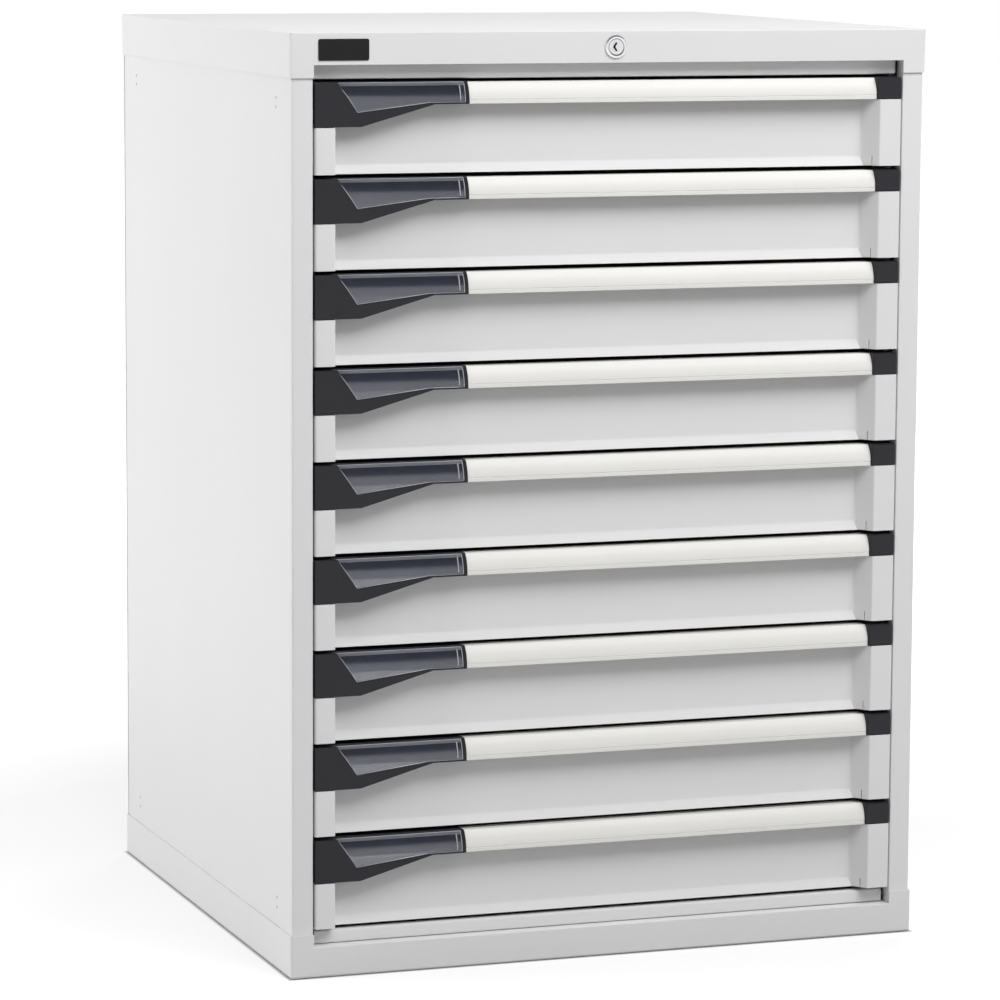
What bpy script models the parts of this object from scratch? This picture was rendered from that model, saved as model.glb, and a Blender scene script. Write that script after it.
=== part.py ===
"""Industrial drawer cabinet with equal drawers, a grip along each front and a cylinder lock.

Metres, +Z up, front towards -Y. The origin is the middle of the cabinet's box on the floor.
Sheet parts are folded profiles: a path gets rounded bends and a thickness, and is extruded.
Everything on a drawer is drawn once in the drawer's own frame, whose origin is the middle of
the lower edge of its front, with y as the depth behind the front face.
"""
import math

import bmesh
import bpy
from mathutils import Matrix, Vector

# Housing
CABINET_WIDTH = 0.720
CABINET_DEPTH = 0.675
CABINET_HEIGHT = 1.000
DRAWER_COUNT = 9
SHEET = 0.0015
CLEARANCE = 0.0003
OVERRUN = 0.004
POST_WIDTH = 0.026
SKIRT_HEIGHT = 0.047
RAIL_HEIGHT = 0.0335
END_ZONE = 0.050
RAIL_RETURN = 0.0115
EDGE_RADIUS = 0.003
BEND_RADIUS = 0.0025
POST_RETURN = 0.0155
REAR_FLANGE = 0.024
BASE_FLANGE = 0.020
CROSSBAR_GAP = 0.0025
LOWER_CROSSBAR_GAP = 0.004
CROSSBAR_SETBACK = 0.013
CROSSBAR_FLANGE = 0.012
CROSSBAR_END_GAP = 0.004

# Runner frames: uprights and the outer members of the slides
UPRIGHT_WIDTH = 0.044
UPRIGHT_DEPTH = 0.024
UPRIGHT_SETBACK = 0.0345
SLIDE_START = 0.025
SLIDE_REAR_SPACE = 0.050
SLIDE_ABOVE = 0.044
SLIDE_HEIGHT = 0.026
SLIDE_WIDTH = 0.012
SLIDE_SHEET = 0.0015
SLIDE_LIP = 0.003
WELD_OVERLAP = 0.0003

# Drawer: front, tray and the inner members of the slides
FRONT_SIDE_GAP = 0.0012
FRONT_GAP = 0.004
FRONT_LIFT = 0.0025
LEFT_PILLAR_WIDTH = 0.0226
RIGHT_PILLAR_WIDTH = 0.0256
PANEL_SETBACK = 0.021
LEFT_WALL_RUN = 0.002
RIGHT_WALL_RUN = 0.0142
RELIEF_DEPTH = 0.008
RELIEF_WIDTH = 0.0009
RELIEF_HEIGHT = 0.010
PANEL_DROP = 0.0004
PANEL_HEADROOM = 0.0028
FACET_HEIGHT = 0.010
FACET_LEAN = 0.005
PANEL_TOP_RETURN = 0.008
PANEL_BOTTOM_RETURN = 0.020
TRAY_SHEET = 0.0012
TRAY_SIDE_SPACE = 0.0268
TRAY_REAR_SPACE = 0.040
TRAY_FLOOR = 0.004
TRAY_HEADROOM = 0.010
TRAY_HEM = 0.006
STEM_SHEET = 0.0015
SLIDE_INNER_SHEET = 0.002
LUG_HEIGHT = 0.012
LUG_SHEET = 0.002
LUG_REACH = 0.009

# Grip profile, end cap and release grip
GRIP_HEIGHT = 0.0238
GRIP_RADIUS = 0.026
GRIP_SETBACK = 0.003
GRIP_TOP_DROP = 0.001
GRIP_WALL = 0.0022
GRIP_LIP_HEIGHT = 0.0040
GRIP_LIP_DEPTH = 0.0036
GRIP_GROOVE = 0.0006
GRIP_LEG = 0.009
GRIP_HOOK = 0.0075
CAP_LENGTH = 0.0283
CAP_CORNER_RADIUS = 0.003
CAP_EDGE_RADIUS = 0.0012
RELEASE_LENGTH = 0.1695
RELEASE_HEIGHT = 0.0465
RELEASE_FLAT = 0.0505
RELEASE_SLOPE = 0.081
RELEASE_RADIUS = 0.038
RELEASE_DEPTH = 0.0185
RELEASE_WALL = 0.0026
JOINT_GAP = 0.0007
PIVOT_BACK = 0.015
PIVOT_DROP = 0.008
PIVOT_RADIUS = 0.002
PIVOT_CLEARANCE = 0.0004
EAR_SHEET = 0.0025
EAR_INSET = 0.0065
EAR_LENGTH = 0.0085
EAR_HEIGHT = 0.0064
RIB_GAP = 0.002
PIN_OVERHANG = 0.0005
WINDOW_SHEET = 0.0012
WINDOW_LEFT = 0.0246
WINDOW_LEAN = 0.0212
WINDOW_DROP = 0.0008
WINDOW_RIGHT_MARGIN = 0.0042
WINDOW_FOOT = 0.0017
WINDOW_TIP = 0.0078
WINDOW_FLAT = 0.040

# Lock
LOCK_PROUD = 0.0025
BEZEL_RADIUS = 0.01225
BARREL_RADIUS = 0.0095
BARREL_LENGTH = 0.022
PLUG_RADIUS = 0.0083
PLUG_RECESS = 0.0008
PLUG_TAIL = 0.002
KEYWAY_WIDTH = 0.0015
KEYWAY_HEIGHT = 0.0084
KEYWAY_DEPTH = 0.007
KEYWAY_KINK = 0.0009
CAM_SHEET = 0.002
CAM_WIDTH = 0.008
CAM_THROW = 0.010
CAM_PIN_RADIUS = 0.0015
ROD_SHEET = 0.002
ROD_HEIGHT = 0.023
ROD_BELOW_LOCK = 0.0175
ROD_TRAVEL = 0.010
ROD_SLOT_WIDTH = 0.0086
ROD_SLOT_HEIGHT = 0.0165
ROD_CAM_GAP = 0.0015
ROD_END = 0.005
GUIDE_SHEET = 0.003
GUIDE_RIM = 0.003
GUIDE_PLACE_SHARES = (0.30, 0.88)
BAR_WIDTH = 0.016
BAR_SHEET = 0.003
BAR_POST_GAP = 0.003
BAR_PIN_RADIUS = 0.002
BAR_PIN_INSET = 0.004
BAR_PIN_BELOW_ROD_TOP = 0.008
BAR_FOOT = 0.006
TAB_HEIGHT = 0.006
TAB_ABOVE_LUG = 0.003
TAB_REACH = 0.0145
LUG_FREE_PLAY = 0.001

# Finishes: colour, roughness, metallic value and alpha
POWDER_COAT = ((0.68, 0.69, 0.70), 0.45, 0, 1)
CREAM = ((0.86, 0.85, 0.80), 0.35, 0, 1)
DARK_PLASTIC = ((0.045, 0.045, 0.050), 0.45, 0, 1)
CLEAR_PLASTIC = ((0.55, 0.60, 0.68), 0.08, 0, 0.35)
CHROME = ((0.80, 0.80, 0.82), 0.12, 1, 1)
ZINC = ((0.62, 0.64, 0.66), 0.35, 1, 1)

# Facets of the round parts
BEND_SEGMENTS = 2
GRIP_SEGMENTS = 6
PIN_SIDES = 12
LOCK_SIDES = 32

# Places that follow from the sizes above
FRONT = (LOCK_PROUD - CABINET_DEPTH) / 2
BACK = FRONT + CABINET_DEPTH
HALF_WIDTH = CABINET_WIDTH / 2
OPENING_HALF = HALF_WIDTH - POST_WIDTH
SIDE_FACE = HALF_WIDTH - SHEET - CLEARANCE
INSIDE_TOP = CABINET_HEIGHT - SHEET - CLEARANCE
INSIDE_FLOOR = RAIL_HEIGHT + CLEARANCE
DRAWER_PITCH = (CABINET_HEIGHT - 2 * END_ZONE) / DRAWER_COUNT
FRONT_HEIGHT = DRAWER_PITCH - FRONT_GAP
FRONT_HALF = OPENING_HALF - FRONT_SIDE_GAP
PANEL_BACK = PANEL_SETBACK + SHEET
PANEL_FOOT = PANEL_SETBACK - FACET_LEAN
SLIDE_LENGTH = CABINET_DEPTH - SLIDE_START - SLIDE_REAR_SPACE
PANEL_TOP = FRONT_HEIGHT - PANEL_HEADROOM
GRIP_FOOT = FRONT_HEIGHT - GRIP_HEIGHT
TRAY_HALF = OPENING_HALF - TRAY_SIDE_SPACE
TRAY_REAR = CABINET_DEPTH - TRAY_REAR_SPACE
TRAY_TOP = FRONT_HEIGHT - TRAY_HEADROOM
SLIDE_OUT = SIDE_FACE - SHEET - CLEARANCE - UPRIGHT_DEPTH + WELD_OVERLAP
SLIDE_IN = SLIDE_OUT - SLIDE_WIDTH
RELEASE_LEFT = -FRONT_HALF
RELEASE_RIGHT = RELEASE_LEFT + RELEASE_LENGTH
CAP_LEFT = FRONT_HALF - CAP_LENGTH
PIVOT = Vector((0, PIVOT_BACK, FRONT_HEIGHT - PIVOT_DROP))
LOCK_HEIGHT = CABINET_HEIGHT - RAIL_HEIGHT / 2
ROD_LOW = LOCK_HEIGHT - ROD_BELOW_LOCK
ROD_FACE = BARREL_LENGTH + PLUG_TAIL + CLEARANCE + CAM_SHEET + ROD_CAM_GAP
BAR_FACE = ROD_FACE + ROD_SHEET + CLEARANCE
BAR_LEFT = OPENING_HALF + BAR_POST_GAP
BAR_PIN_X = BAR_LEFT + BAR_PIN_INSET
BAR_PIN_Z = ROD_LOW + ROD_HEIGHT - BAR_PIN_BELOW_ROD_TOP
LUG_LOW = TRAY_TOP - LUG_HEIGHT
LUG_FACE = BAR_FACE + BAR_SHEET + LUG_FREE_PLAY


def rounded(path, radius, segments=BEND_SEGMENTS):
    """The path with an arc of the radius in place of each inner corner."""
    points = [Vector(path[0])]
    for before, corner, after in zip(path, path[1:], path[2:]):
        corner = Vector(corner)
        towards_before = (Vector(before) - corner).normalized()
        towards_after = (Vector(after) - corner).normalized()
        half_angle = towards_before.angle(towards_after) / 2
        centre = corner + (towards_before + towards_after).normalized() * radius / math.sin(half_angle)
        first = corner + towards_before * radius / math.tan(half_angle) - centre
        last = corner + towards_after * radius / math.tan(half_angle) - centre
        for step in range(segments + 1):
            points.append(centre + first.slerp(last, step / segments) * radius)
    points.append(Vector(path[-1]))
    return points


def moved_aside(points, distance, closed=False):
    """The points moved to the left of their direction of travel, with mitred corners."""
    count = len(points)
    aside = []
    for index in range(count):
        normals = []
        for start in (index - 1, index):
            if closed or 0 <= start < count - 1:
                step = Vector(points[(start + 1) % count]) - Vector(points[start % count])
                normals.append(Vector((-step.y, step.x)).normalized())
        total = sum(normals, Vector((0, 0)))
        aside.append(Vector(points[index]) + total * distance * len(normals) / total.length_squared)
    return aside


def folded(path, thickness, radius=BEND_RADIUS):
    """The outline of a folded sheet whose outer face follows the path, with its body to the left."""
    outer = rounded(path, radius)
    return outer + moved_aside(outer, thickness)[::-1]


def prism(outline, axis, start, end):
    """A closed mesh: the outline, drawn across the axis, extruded from start to end along it."""
    place = {
        "X": lambda u, v: (start, u, v),
        "Y": lambda u, v: (u, start, v),
        "Z": lambda u, v: (u, v, start),
    }[axis]
    direction = {"X": Vector((1, 0, 0)), "Y": Vector((0, 1, 0)), "Z": Vector((0, 0, 1))}[axis]
    shape = bmesh.new()
    face = shape.faces.new([shape.verts.new(place(u, v)) for u, v in outline])
    extruded = bmesh.ops.extrude_face_region(shape, geom=[face])["geom"]
    moved = [item for item in extruded if isinstance(item, bmesh.types.BMVert)]
    bmesh.ops.translate(shape, vec=direction * (end - start), verts=moved)
    return finished(shape)


def block(low, high):
    """A box between two corners."""
    outline = [(low[0], low[1]), (high[0], low[1]), (high[0], high[1]), (low[0], high[1])]
    return prism(outline, "Z", low[2], high[2])


def cylinder(radius, axis, start, end, centre=(0, 0), sides=PIN_SIDES):
    """A round bar along the axis, centred on a point of the plane across it."""
    turn = 2 * math.pi / sides
    outline = [
        (centre[0] + radius * math.cos(step * turn), centre[1] + radius * math.sin(step * turn))
        for step in range(sides)
    ]
    return prism(outline, axis, start, end)


def finished(shape):
    """The bmesh as a mesh whose faces point outwards."""
    bmesh.ops.recalc_face_normals(shape, faces=shape.faces)
    mesh = bpy.data.meshes.new("shape")
    shape.to_mesh(mesh)
    shape.free()
    return mesh


def mirrored(mesh):
    """A copy of the mesh on the other side of the YZ plane."""
    copy = mesh.copy()
    copy.transform(Matrix.Scale(-1, 4, Vector((1, 0, 0))))
    copy.flip_normals()
    return copy


def combined(base, *steps):
    """The base mesh after each step: an operation and the mesh that it uses."""
    body = bpy.data.objects.new("body", base)
    tools = []
    for operation, mesh in steps:
        tool = bpy.data.objects.new("tool", mesh)
        modifier = body.modifiers.new(operation, "BOOLEAN")
        modifier.operation = operation
        modifier.solver = "EXACT"
        modifier.object = tool
        tools.append(tool)
    for helper in [body] + tools:
        bpy.context.scene.collection.objects.link(helper)
    depsgraph = bpy.context.evaluated_depsgraph_get()
    result = bpy.data.meshes.new_from_object(body.evaluated_get(depsgraph))
    for helper in [body] + tools:
        bpy.data.objects.remove(helper)
    return result


def joined(base, *others):
    """The meshes welded into one."""
    return combined(base, *[("UNION", other) for other in others])


def cut(base, *cutters):
    """The base mesh with the cutters taken out of it."""
    return combined(base, *[("DIFFERENCE", cutter) for cutter in cutters])


def softened_box(low, high, radius, keep_top_sharp):
    """A box with its upright edges and its bottom or top edges rounded."""
    shape = bmesh.new()
    bmesh.ops.create_cube(shape, size=1)
    size = Vector(high) - Vector(low)
    bmesh.ops.scale(shape, vec=size, verts=shape.verts)
    bmesh.ops.translate(shape, vec=(Vector(high) + Vector(low)) / 2, verts=shape.verts)
    sharp_height = high[2] if keep_top_sharp else low[2]
    edges = [
        edge for edge in shape.edges
        if any(abs(corner.co.z - sharp_height) > size.z / 2 for corner in edge.verts)
    ]
    bmesh.ops.bevel(
        shape, geom=edges, offset=radius, segments=BEND_SEGMENTS, profile=0.5, affect="EDGES", material=-1
    )
    return finished(shape)


def top_cover():
    """The cap: skirts outside the side panels, and the lock rail between its front corners."""
    skirt_low = CABINET_HEIGHT - SKIRT_HEIGHT
    rail_low = CABINET_HEIGHT - RAIL_HEIGHT
    shell = softened_box(
        (-HALF_WIDTH, FRONT, skirt_low), (HALF_WIDTH, BACK, CABINET_HEIGHT), EDGE_RADIUS, keep_top_sharp=False
    )
    hollow = block(
        (-HALF_WIDTH + SHEET, FRONT + SHEET, skirt_low - OVERRUN),
        (HALF_WIDTH - SHEET, BACK - SHEET, CABINET_HEIGHT - SHEET),
    )
    mouth = block(
        (-OPENING_HALF, FRONT - OVERRUN, skirt_low - OVERRUN), (OPENING_HALF, FRONT + OVERRUN, rail_low)
    )
    rail_return = block(
        (-OPENING_HALF, FRONT + SHEET / 2, rail_low), (OPENING_HALF, FRONT + RAIL_RETURN, rail_low + SHEET)
    )
    lock_hole = cylinder(
        BARREL_RADIUS + CLEARANCE, "Y", FRONT - OVERRUN, FRONT + OVERRUN, (0, LOCK_HEIGHT), LOCK_SIDES
    )
    return cut(joined(cut(shell, hollow, mouth), rail_return), lock_hole)


def base_tray():
    """The cabinet floor with skirts like the cap's, standing on flanges that turn inwards."""
    shell = softened_box(
        (-HALF_WIDTH, FRONT, 0), (HALF_WIDTH, BACK, SKIRT_HEIGHT), EDGE_RADIUS, keep_top_sharp=True
    )
    inside = (HALF_WIDTH - SHEET, FRONT + SHEET, BACK - SHEET)
    above_floor = block(
        (-inside[0], inside[1], RAIL_HEIGHT), (inside[0], inside[2], SKIRT_HEIGHT + OVERRUN)
    )
    below_floor = block((-inside[0], inside[1], SHEET), (inside[0], inside[2], RAIL_HEIGHT - SHEET))
    underside = block(
        (-HALF_WIDTH + BASE_FLANGE, FRONT + BASE_FLANGE, -OVERRUN),
        (HALF_WIDTH - BASE_FLANGE, BACK - BASE_FLANGE, SHEET + OVERRUN),
    )
    mouth = block(
        (-OPENING_HALF, FRONT - OVERRUN, RAIL_HEIGHT), (OPENING_HALF, FRONT + OVERRUN, SKIRT_HEIGHT + OVERRUN)
    )
    return cut(shell, above_floor, below_floor, underside, mouth)


def side_panel():
    """The right wall with its front post and its rear flange, folded from one sheet."""
    face = FRONT + SHEET + CLEARANCE
    rear = BACK - 2 * (SHEET + CLEARANCE)
    path = [
        (OPENING_HALF, face + POST_RETURN), (OPENING_HALF, face), (SIDE_FACE, face),
        (SIDE_FACE, rear), (SIDE_FACE - REAR_FLANGE, rear),
    ]
    return prism(folded(path, SHEET), "Z", INSIDE_FLOOR, INSIDE_TOP)


def back_panel():
    """The back, a sheet that closes the housing between the skirts."""
    outside = BACK - SHEET - CLEARANCE
    return block((-SIDE_FACE, outside - SHEET, INSIDE_FLOOR), (SIDE_FACE, outside, INSIDE_TOP))


def crossbar(low, high):
    """A rail set back between the posts, folded back along both its edges."""
    front = FRONT + CROSSBAR_SETBACK
    half = OPENING_HALF - CROSSBAR_END_GAP
    path = [(front + CROSSBAR_FLANGE, low), (front, low), (front, high), (front + CROSSBAR_FLANGE, high)]
    return prism(folded(path, -SHEET), "X", -half, half)


def upper_crossbar():
    """The rail above the top drawer, with two guides for the lock rod."""
    front = FRONT + CROSSBAR_SETBACK
    guide_rear = FRONT + ROD_FACE + ROD_SHEET + GUIDE_RIM
    window_face = FRONT + ROD_FACE - CLEARANCE
    window_rear = FRONT + ROD_FACE + ROD_SHEET + CLEARANCE
    rod_top = ROD_LOW + ROD_HEIGHT
    guides = []
    windows = []
    for share in GUIDE_PLACE_SHARES:
        place = share * OPENING_HALF
        guides.append(block(
            (place - GUIDE_SHEET / 2, front + SHEET / 2, ROD_LOW - GUIDE_RIM),
            (place + GUIDE_SHEET / 2, guide_rear, rod_top + GUIDE_RIM),
        ))
        windows.append(block(
            (place - GUIDE_SHEET, window_face, ROD_LOW - CLEARANCE),
            (place + GUIDE_SHEET, window_rear, rod_top + CLEARANCE),
        ))
    barrel_hole = cylinder(
        BARREL_RADIUS + CLEARANCE, "Y", front - OVERRUN, front + OVERRUN, (0, LOCK_HEIGHT), LOCK_SIDES
    )
    rail = crossbar(drawer_height(0) + FRONT_HEIGHT + CROSSBAR_GAP, INSIDE_TOP)
    return cut(joined(rail, *guides), barrel_hole, *windows)


def lower_crossbar():
    """The rail on the cabinet floor, below the bottom drawer."""
    return crossbar(INSIDE_FLOOR, drawer_height(DRAWER_COUNT - 1) - PANEL_DROP - LOWER_CROSSBAR_GAP)


def drawer_height(index):
    """The height of the lower edge of a drawer's front, counted from the top drawer."""
    return END_ZONE + FRONT_LIFT + (DRAWER_COUNT - 1 - index) * DRAWER_PITCH


def runner_frame():
    """The right-hand uprights with one open slide rail for each drawer."""
    wall = SIDE_FACE - SHEET - CLEARANCE
    inner = wall - UPRIGHT_DEPTH
    starts = (FRONT + UPRIGHT_SETBACK, BACK - UPRIGHT_SETBACK - UPRIGHT_WIDTH)
    uprights = []
    for start in starts:
        path = [
            (wall, start), (inner, start), (inner, start + UPRIGHT_WIDTH), (wall, start + UPRIGHT_WIDTH)
        ]
        uprights.append(prism(folded(path, -SHEET), "Z", INSIDE_FLOOR, INSIDE_TOP))
    rails = []
    for index in range(DRAWER_COUNT):
        low = drawer_height(index) + SLIDE_ABOVE
        high = low + SLIDE_HEIGHT
        path = [
            (SLIDE_IN, high - SLIDE_LIP - SLIDE_SHEET), (SLIDE_IN, high), (SLIDE_OUT, high),
            (SLIDE_OUT, low), (SLIDE_IN, low), (SLIDE_IN, low + SLIDE_LIP + SLIDE_SHEET),
        ]
        outline = path + moved_aside(path, -SLIDE_SHEET)[::-1]
        rails.append(prism(outline, "Y", FRONT + SLIDE_START, FRONT + SLIDE_START + SLIDE_LENGTH))
    return joined(uprights[0], uprights[1], *rails)


def panel_face():
    """The front panel's face from its top to its foot, as depth and height."""
    low = -PANEL_DROP
    return [
        (PANEL_SETBACK, PANEL_TOP), (PANEL_SETBACK, low + FACET_HEIGHT), (PANEL_FOOT, low)
    ]


def front_panel():
    """The set-back middle of the drawer front, with its sloping lower facet and its returns."""
    face = panel_face()
    top = (face[0][0] + PANEL_TOP_RETURN, face[0][1])
    foot = (face[-1][0] + PANEL_BOTTOM_RETURN, face[-1][1])
    path = [top, *face, foot]
    outline = path + moved_aside(path, SHEET)[::-1]
    return prism(outline, "X", -FRONT_HALF + SHEET / 3, FRONT_HALF - SHEET / 3)


def behind_panel():
    """The room behind the middle of the front panel's sheet."""
    middle = moved_aside(panel_face(), SHEET / 2)
    far = PANEL_FOOT + PANEL_BOTTOM_RETURN
    outline = [*middle, (far, middle[-1].y), (far, middle[0].y)]
    return prism(outline, "X", -FRONT_HALF - OVERRUN, FRONT_HALF + OVERRUN)


def pillar(width, wall_run, height):
    """A right-hand pillar of the front: wall up to the panel, face, outer return and foot."""
    inner = FRONT_HALF - width
    rear = PANEL_BACK
    return_rear = PANEL_SETBACK + SHEET / 2
    wall_end = (inner - wall_run * rear / PANEL_SETBACK, rear)
    path = [wall_end, (inner, 0), (FRONT_HALF, 0), (FRONT_HALF, return_rear)]
    sheet = prism(folded(path, SHEET), "Z", 0, height)
    middle = SHEET / 2
    foot_outline = [
        (wall_end[0] + SHEET, rear), (inner + middle, middle), (FRONT_HALF - middle, middle),
        (FRONT_HALF - middle, return_rear),
    ]
    foot = prism(foot_outline, "Z", middle / 2, middle / 2 + SHEET)
    return cut(joined(sheet, foot), behind_panel())


def pillar_relief():
    """The slit at the foot of the right-hand pillar's wall, as a cutter."""
    wall = Vector((-RIGHT_WALL_RUN, PANEL_SETBACK))
    along = wall.normalized() * RELIEF_WIDTH / 2
    across = Vector((-wall.y, wall.x)).normalized() * SHEET * 2
    centre = Vector((FRONT_HALF - RIGHT_PILLAR_WIDTH, 0)) + wall * RELIEF_DEPTH / PANEL_SETBACK
    outline = [
        centre - along - across, centre + along - across, centre + along + across, centre - along + across
    ]
    return prism(outline, "Z", -OVERRUN, RELIEF_HEIGHT)


def slide_inner():
    """The right-hand inner member: a stem off the tray's wall and the strip that runs in the rail."""
    middle = SLIDE_ABOVE + SLIDE_HEIGHT / 2
    start = PANEL_BACK + CLEARANCE
    end = SLIDE_START + SLIDE_LENGTH
    strip_in = SLIDE_IN + SLIDE_SHEET + CLEARANCE
    stem = block(
        (TRAY_HALF - TRAY_SHEET / 2, start, middle - STEM_SHEET / 2),
        (strip_in + SLIDE_INNER_SHEET / 2, end, middle + STEM_SHEET / 2),
    )
    strip = block(
        (strip_in, start + SLIDE_START, SLIDE_ABOVE + SLIDE_SHEET + CLEARANCE),
        (strip_in + SLIDE_INNER_SHEET, end, SLIDE_ABOVE + SLIDE_HEIGHT - SLIDE_SHEET - CLEARANCE),
    )
    return stem, strip


def tray_wall():
    """The right-hand wall of the tray, with the hem along its top."""
    path = [(TRAY_HALF, TRAY_FLOOR), (TRAY_HALF, TRAY_TOP), (TRAY_HALF + TRAY_HEM, TRAY_TOP)]
    outline = path + moved_aside(path, TRAY_SHEET)[::-1]
    return prism(outline, "Y", PANEL_SETBACK + SHEET / 2, TRAY_REAR)


def release_ears():
    """Two ears on the front panel with the pins that the release grip turns on."""
    low = PIVOT.z - EAR_HEIGHT / 2
    high = PIVOT.z + EAR_HEIGHT / 2
    front = PANEL_SETBACK - EAR_LENGTH
    centre = (PIVOT.y, PIVOT.z)
    shapes = []
    for edge, inwards in ((RELEASE_LEFT, 1), (RELEASE_RIGHT, -1)):
        near = edge + inwards * EAR_INSET
        far = near + inwards * EAR_SHEET
        shapes.append(block((min(near, far), front, low), (max(near, far), PANEL_SETBACK + SHEET / 2, high)))
        tip = far + inwards * (RIB_GAP + EAR_SHEET + PIN_OVERHANG)
        root = far - inwards * EAR_SHEET / 2
        shapes.append(cylinder(PIVOT_RADIUS, "X", min(root, tip), max(root, tip), centre))
    return shapes


def drawer_tray():
    """One drawer: folded front, tray, inner slides, ears for the release grip and the lock lug."""
    right_pillar = cut(pillar(RIGHT_PILLAR_WIDTH, RIGHT_WALL_RUN, GRIP_FOOT - CLEARANCE), pillar_relief())
    left_pillar = mirrored(pillar(LEFT_PILLAR_WIDTH, LEFT_WALL_RUN, FRONT_HEIGHT - RELEASE_HEIGHT - JOINT_GAP))
    stem, strip = slide_inner()
    wall = tray_wall()
    floor_low = TRAY_FLOOR + TRAY_SHEET / 6
    floor_start = PANEL_FOOT + FACET_LEAN * (floor_low + PANEL_DROP) / FACET_HEIGHT + SHEET / 2
    floor = block(
        (-TRAY_HALF + TRAY_SHEET / 2, floor_start, floor_low),
        (TRAY_HALF - TRAY_SHEET / 2, TRAY_REAR - TRAY_SHEET / 3, floor_low + TRAY_SHEET),
    )
    rear = block(
        (-TRAY_HALF + TRAY_SHEET / 2, TRAY_REAR - TRAY_SHEET * 4 / 3, floor_low + TRAY_SHEET / 2),
        (TRAY_HALF - TRAY_SHEET / 2, TRAY_REAR - TRAY_SHEET / 3, TRAY_TOP - TRAY_SHEET),
    )
    lug = block(
        (TRAY_HALF - TRAY_SHEET / 2, LUG_FACE, LUG_LOW), (SLIDE_IN + LUG_REACH, LUG_FACE + LUG_SHEET, TRAY_TOP - TRAY_SHEET / 2)
    )
    return joined(
        front_panel(), left_pillar, right_pillar, wall, mirrored(wall), floor, rear, stem, mirrored(stem), strip, mirrored(strip), lug, *release_ears()
    )


def rounded_face(radius, foot, inset, top):
    """Points up a rounded front from its foot to its top, as depth and height."""
    sweep = math.asin((top - foot) / (radius - inset))
    steps = [sweep * step / GRIP_SEGMENTS for step in range(GRIP_SEGMENTS + 1)]
    return [
        (radius - (radius - inset) * math.cos(angle), foot + (radius - inset) * math.sin(angle))
        for angle in steps
    ]


def grip_profile():
    """The extruded grip: lip, groove and rounded front, hooked over the top of the front panel."""
    top = FRONT_HEIGHT - GRIP_TOP_DROP
    lip_top = GRIP_FOOT + GRIP_LIP_HEIGHT
    round_foot = lip_top + GRIP_GROOVE
    outer = rounded_face(GRIP_RADIUS, round_foot, 0, top)
    inner = rounded_face(GRIP_RADIUS, round_foot, GRIP_WALL, top - GRIP_WALL)
    leg_face = PANEL_SETBACK - CLEARANCE
    leg_low = top - GRIP_WALL - GRIP_LEG
    hook_low = PANEL_TOP + CLEARANCE
    lip_back = GRIP_SETBACK + GRIP_LIP_DEPTH
    outline = [
        (GRIP_SETBACK, GRIP_FOOT), (GRIP_SETBACK, lip_top),
        (GRIP_SETBACK + GRIP_GROOVE, lip_top + GRIP_GROOVE / 2),
        *[(GRIP_SETBACK + depth, height) for depth, height in outer],
        (PANEL_SETBACK + GRIP_HOOK, top), (PANEL_SETBACK + GRIP_HOOK, hook_low), (leg_face, hook_low),
        (leg_face, leg_low), (leg_face - GRIP_WALL, leg_low), (leg_face - GRIP_WALL, top - GRIP_WALL),
        *[(GRIP_SETBACK + depth, height) for depth, height in reversed(inner)],
        (lip_back, lip_top), (lip_back, GRIP_FOOT),
    ]
    return prism(outline, "X", RELEASE_RIGHT + JOINT_GAP, CAP_LEFT - CLEARANCE)


def end_cap():
    """The moulded cap at the right end of the grip, rounded at its outer top corner."""
    path = [(FRONT_HALF, GRIP_FOOT), (FRONT_HALF, FRONT_HEIGHT), (CAP_LEFT, FRONT_HEIGHT)]
    outline = rounded(path, CAP_CORNER_RADIUS) + [Vector((CAP_LEFT, GRIP_FOOT))]
    shape = bmesh.new()
    shape.from_mesh(prism(outline, "Y", 0, PANEL_SETBACK - CLEARANCE))
    front_edges = [edge for edge in shape.edges if all(corner.co.y < CLEARANCE for corner in edge.verts)]
    bmesh.ops.bevel(
        shape, geom=front_edges, offset=CAP_EDGE_RADIUS, segments=1, profile=0.5, affect="EDGES", material=-1
    )
    return finished(shape)


def window_slant(height):
    """The x of the slanted left edge of the label window at a height."""
    top = RELEASE_LEFT + WINDOW_LEFT
    return top + WINDOW_LEAN * (FRONT_HEIGHT - height) / (GRIP_HEIGHT + WINDOW_TIP)


def release_outline(inset):
    """The release grip seen from the front, drawn in by the inset."""
    low = FRONT_HEIGHT - RELEASE_HEIGHT
    points = [
        (RELEASE_LEFT, low), (RELEASE_LEFT + RELEASE_FLAT, low),
        (RELEASE_LEFT + RELEASE_FLAT + RELEASE_SLOPE, GRIP_FOOT), (RELEASE_RIGHT, GRIP_FOOT),
        (RELEASE_RIGHT, FRONT_HEIGHT), (RELEASE_LEFT, FRONT_HEIGHT),
    ]
    return moved_aside(points, inset, closed=True)


def space_before_face(inset, low, left_end):
    """The room in front of the rounded face, right of an end that may lean with the height."""
    top = FRONT_HEIGHT + OVERRUN
    outline = [(-OVERRUN, low)]
    if low < GRIP_FOOT:
        outline.append((inset, low))
    outline += rounded_face(RELEASE_RADIUS, GRIP_FOOT, inset, FRONT_HEIGHT - inset)
    outline += [(outline[-1][0], top), (-OVERRUN, top)]
    shape = bmesh.new()
    face = shape.faces.new([shape.verts.new((left_end(height), depth, height)) for depth, height in outline])
    extruded = bmesh.ops.extrude_face_region(shape, geom=[face])["geom"]
    for item in extruded:
        if isinstance(item, bmesh.types.BMVert):
            item.co.x = RELEASE_RIGHT + OVERRUN
    return finished(shape)


def release_body(inset, rear):
    """The release grip's outer form, or with an inset the hollow behind its wall."""
    form = prism(release_outline(inset), "Y", inset, rear)
    return cut(form, space_before_face(inset, GRIP_FOOT, lambda height: window_slant(height) - inset))


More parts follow.
